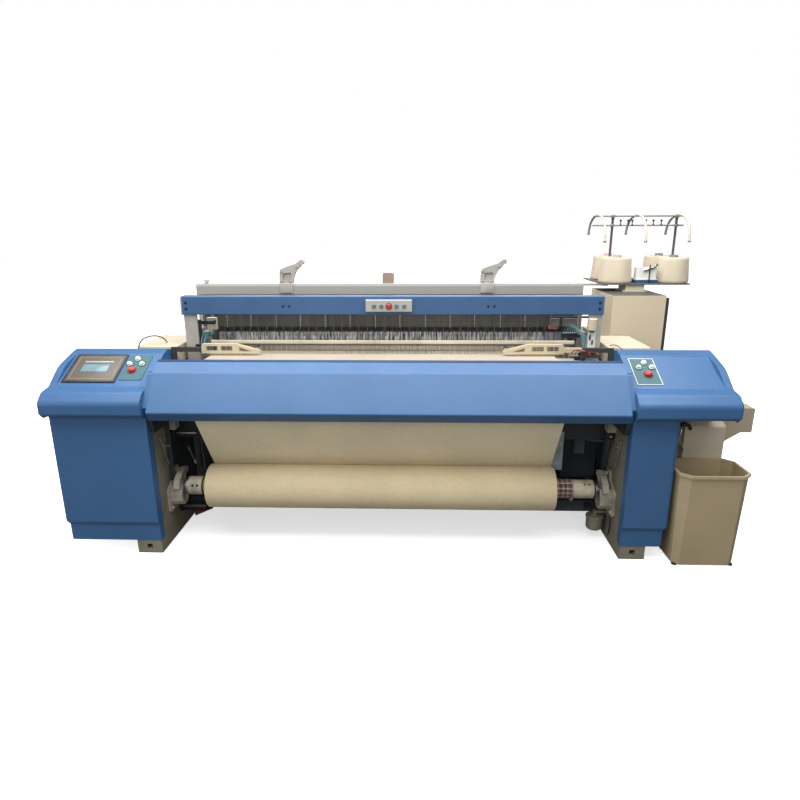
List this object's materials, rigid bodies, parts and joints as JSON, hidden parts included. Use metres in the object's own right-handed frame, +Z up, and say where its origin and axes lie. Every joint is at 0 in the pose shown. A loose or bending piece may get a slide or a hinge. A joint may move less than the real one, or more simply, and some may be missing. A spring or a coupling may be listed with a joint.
{
  "type": "air-jet power loom",
  "caption": "Wide air-jet weaving loom with blue covers, cloth roll, harness portal, control heads, control cabinet, yarn creel and waste bin.",
  "frame": {"origin": "middle of the footprint on the floor", "axes": "+Z up, +X to the weaver's right along the cloth width, the weaver stands at -Y"},
  "size_m": [3.78, 1.794, 1.821],
  "materials": {
    "casting": "satin",
    "blue_paint": "satin",
    "cream_paint": "satin",
    "cabinet_paint": "satin",
    "dark_steel": "satin",
    "bare_steel": "satin",
    "light_alloy": "satin",
    "reed_steel": "satin",
    "emery_rubber": "matt",
    "display": "satin",
    "teal_plate": "satin",
    "grey_plate": "satin",
    "white_plastic": "gloss",
    "green_plastic": "gloss",
    "red_plastic": "gloss",
    "lamp_plastic": "satin",
    "bin_plastic": "satin",
    "woven_cloth": "matt",
    "yarn": "matt",
    "nozzle_brass": "satin"
  },
  "bodies": {
    "root": {"side_frame_left": "casting", "side_frame_right": "casting", "cross_stays": "dark_steel", "breast_brackets": "casting", "cloth_bars": "bare_steel", "front_cover": "blue_paint", "head_cover_left": "blue_paint", "head_cover_right": "blue_paint", "leg_cover_left": "blue_paint", "leg_cover_right": "blue_paint", "deck_covers": "cream_paint", "drive_cover": "cream_paint", "waste_chute": "cream_paint", "display_unit": "display", "button_plates": "teal_plate", "beam_button_box": "grey_plate", "harness_beam": "blue_paint", "beam_posts": "casting", "rear_rail": "casting", "rail_brackets": "casting", "signal_lamp": "lamp_plastic", "temples": "cream_paint", "stop_motion": "dark_steel", "cloth": "woven_cloth", "warp_sheet": "yarn", "roll_brackets": "casting", "control_cabinet": "cabinet_paint", "creel_stand": "cream_paint", "creel_guides": "bare_steel", "yarn_cones": "yarn", "weft_feeder": "white_plastic", "waste_bin": "bin_plastic"},
    "warp_beam_body": {"warp_beam": "light_alloy", "warp_yarn": "yarn"},
    "back_rest_body": {"back_rest_roller": "bare_steel"},
    "take_up_body": {"take_up_roller": "emery_rubber"},
    "press_body": {"press_roller": "emery_rubber"},
    "cloth_roll_body": {"cloth_beam": "bare_steel", "cloth_roll": "woven_cloth"},
    "sley_body": {"sley": "light_alloy", "reed": "reed_steel", "main_nozzle": "nozzle_brass"},
    "healds_odd_body": {"heald_frames_odd": "light_alloy"},
    "healds_even_body": {"heald_frames_even": "light_alloy"},
    "latch_left_body": {"roll_latch_left": "casting"},
    "latch_right_body": {"roll_latch_right": "casting"},
    "door_body": {"cabinet_door": "dark_steel"},
    "panel_button_left_1_body": {"panel_button_left_1": "white_plastic"},
    "panel_button_left_2_body": {"panel_button_left_2": "white_plastic"},
    "panel_button_left_3_body": {"panel_button_left_3": "green_plastic"},
    "stop_button_left_body": {"stop_button_left": "red_plastic"},
    "panel_button_right_1_body": {"panel_button_right_1": "white_plastic"},
    "panel_button_right_2_body": {"panel_button_right_2": "white_plastic"},
    "panel_button_right_3_body": {"panel_button_right_3": "white_plastic"},
    "stop_button_right_body": {"stop_button_right": "red_plastic"},
    "beam_button_1_body": {"beam_button_1": "green_plastic"},
    "beam_button_2_body": {"beam_button_2": "green_plastic"},
    "beam_stop_button_body": {"beam_stop_button": "red_plastic"},
    "beam_button_4_body": {"beam_button_4": "white_plastic"},
    "beam_button_5_body": {"beam_button_5": "white_plastic"}
  },
  "joints": [
    {"name": "warp_beam_spin", "type": "hinge", "parent": "root", "child": "warp_beam_body", "pos_m": [-0.11, 0.402, 0.5], "axis": [1, 0, 0], "continuous": true},
    {"name": "back_rest_spin", "type": "hinge", "parent": "root", "child": "back_rest_body", "pos_m": [-0.11, 0.642, 0.9843], "axis": [1, 0, 0], "continuous": true},
    {"name": "take_up_spin", "type": "hinge", "parent": "root", "child": "take_up_body", "pos_m": [-0.11, -0.533, 0.948], "axis": [1, 0, 0], "continuous": true},
    {"name": "press_roller_spin", "type": "hinge", "parent": "root", "child": "press_body", "pos_m": [-0.11, -0.4612, 0.86243], "axis": [1, 0, 0], "continuous": true},
    {"name": "cloth_roll_spin", "type": "hinge", "parent": "root", "child": "cloth_roll_body", "pos_m": [-0.11, -0.603, 0.32], "axis": [1, 0, 0], "continuous": true},
    {"name": "sley_swing", "type": "hinge", "parent": "root", "child": "sley_body", "pos_m": [-0.11, -0.218, 0.7], "axis": [1, 0, 0], "range_deg": [0, 14]},
    {"name": "healds_odd_lift", "type": "slide", "parent": "root", "child": "healds_odd_body", "axis": [0, 0, 1], "range_m": [-0.045, 0.045]},
    {"name": "healds_even_lift", "type": "slide", "parent": "root", "child": "healds_even_body", "axis": [0, 0, 1], "range_m": [-0.045, 0.045]},
    {"name": "latch_left_swing", "type": "hinge", "parent": "root", "child": "latch_left_body", "pos_m": [-1.305, -0.54, 0.389], "axis": [-1, 0, 0], "range_deg": [0, 70]},
    {"name": "latch_right_swing", "type": "hinge", "parent": "root", "child": "latch_right_body", "pos_m": [1.085, -0.54, 0.389], "axis": [-1, 0, 0], "range_deg": [0, 70]},
    {"name": "cabinet_door_swing", "type": "hinge", "parent": "root", "child": "door_body", "pos_m": [1.621, 0.613, 0.66], "axis": [0, 0, 1], "range_deg": [0, 115]},
    {"name": "panel_button_left_1_press", "type": "slide", "parent": "root", "child": "panel_button_left_1_body", "axis": [0, 0.4619, -0.8869], "range_m": [0, 0.004], "stiffness_N_per_m": 700, "springref_m": -0.001},
    {"name": "panel_button_left_2_press", "type": "slide", "parent": "root", "child": "panel_button_left_2_body", "axis": [0, 0.4619, -0.8869], "range_m": [0, 0.004], "stiffness_N_per_m": 700, "springref_m": -0.001},
    {"name": "panel_button_left_3_press", "type": "slide", "parent": "root", "child": "panel_button_left_3_body", "axis": [0, 0.4619, -0.8869], "range_m": [0, 0.004], "stiffness_N_per_m": 700, "springref_m": -0.001},
    {"name": "stop_button_left_press", "type": "slide", "parent": "root", "child": "stop_button_left_body", "axis": [0, 0.4619, -0.8869], "range_m": [0, 0.004], "stiffness_N_per_m": 700, "springref_m": -0.001},
    {"name": "panel_button_right_1_press", "type": "slide", "parent": "root", "child": "panel_button_right_1_body", "axis": [0, 0.4619, -0.8869], "range_m": [0, 0.004], "stiffness_N_per_m": 700, "springref_m": -0.001},
    {"name": "panel_button_right_2_press", "type": "slide", "parent": "root", "child": "panel_button_right_2_body", "axis": [0, 0.4619, -0.8869], "range_m": [0, 0.004], "stiffness_N_per_m": 700, "springref_m": -0.001},
    {"name": "panel_button_right_3_press", "type": "slide", "parent": "root", "child": "panel_button_right_3_body", "axis": [0, 0.4619, -0.8869], "range_m": [0, 0.004], "stiffness_N_per_m": 700, "springref_m": -0.001},
    {"name": "stop_button_right_press", "type": "slide", "parent": "root", "child": "stop_button_right_body", "axis": [0, 0.4619, -0.8869], "range_m": [0, 0.004], "stiffness_N_per_m": 700, "springref_m": -0.001},
    {"name": "beam_button_1_press", "type": "slide", "parent": "root", "child": "beam_button_1_body", "axis": [0, 1, 0], "range_m": [0, 0.004], "stiffness_N_per_m": 700, "springref_m": -0.001},
    {"name": "beam_button_2_press", "type": "slide", "parent": "root", "child": "beam_button_2_body", "axis": [0, 1, 0], "range_m": [0, 0.004], "stiffness_N_per_m": 700, "springref_m": -0.001},
    {"name": "beam_stop_button_press", "type": "slide", "parent": "root", "child": "beam_stop_button_body", "axis": [0, 1, 0], "range_m": [0, 0.004], "stiffness_N_per_m": 700, "springref_m": -0.001},
    {"name": "beam_button_4_press", "type": "slide", "parent": "root", "child": "beam_button_4_body", "axis": [0, 1, 0], "range_m": [0, 0.004], "stiffness_N_per_m": 700, "springref_m": -0.001},
    {"name": "beam_button_5_press", "type": "slide", "parent": "root", "child": "beam_button_5_body", "axis": [0, 1, 0], "range_m": [0, 0.004], "stiffness_N_per_m": 700, "springref_m": -0.001}
  ],
  "couplings": [
    {"joint": "back_rest_spin", "follows": "warp_beam_spin", "ratio": 6.1818},
    {"joint": "take_up_spin", "follows": "warp_beam_spin", "ratio": 4.25},
    {"joint": "press_roller_spin", "follows": "warp_beam_spin", "ratio": -11.333},
    {"joint": "cloth_roll_spin", "follows": "warp_beam_spin", "ratio": -2.7642},
    {"joint": "healds_even_lift", "follows": "healds_odd_lift", "ratio": -1}
  ]
}
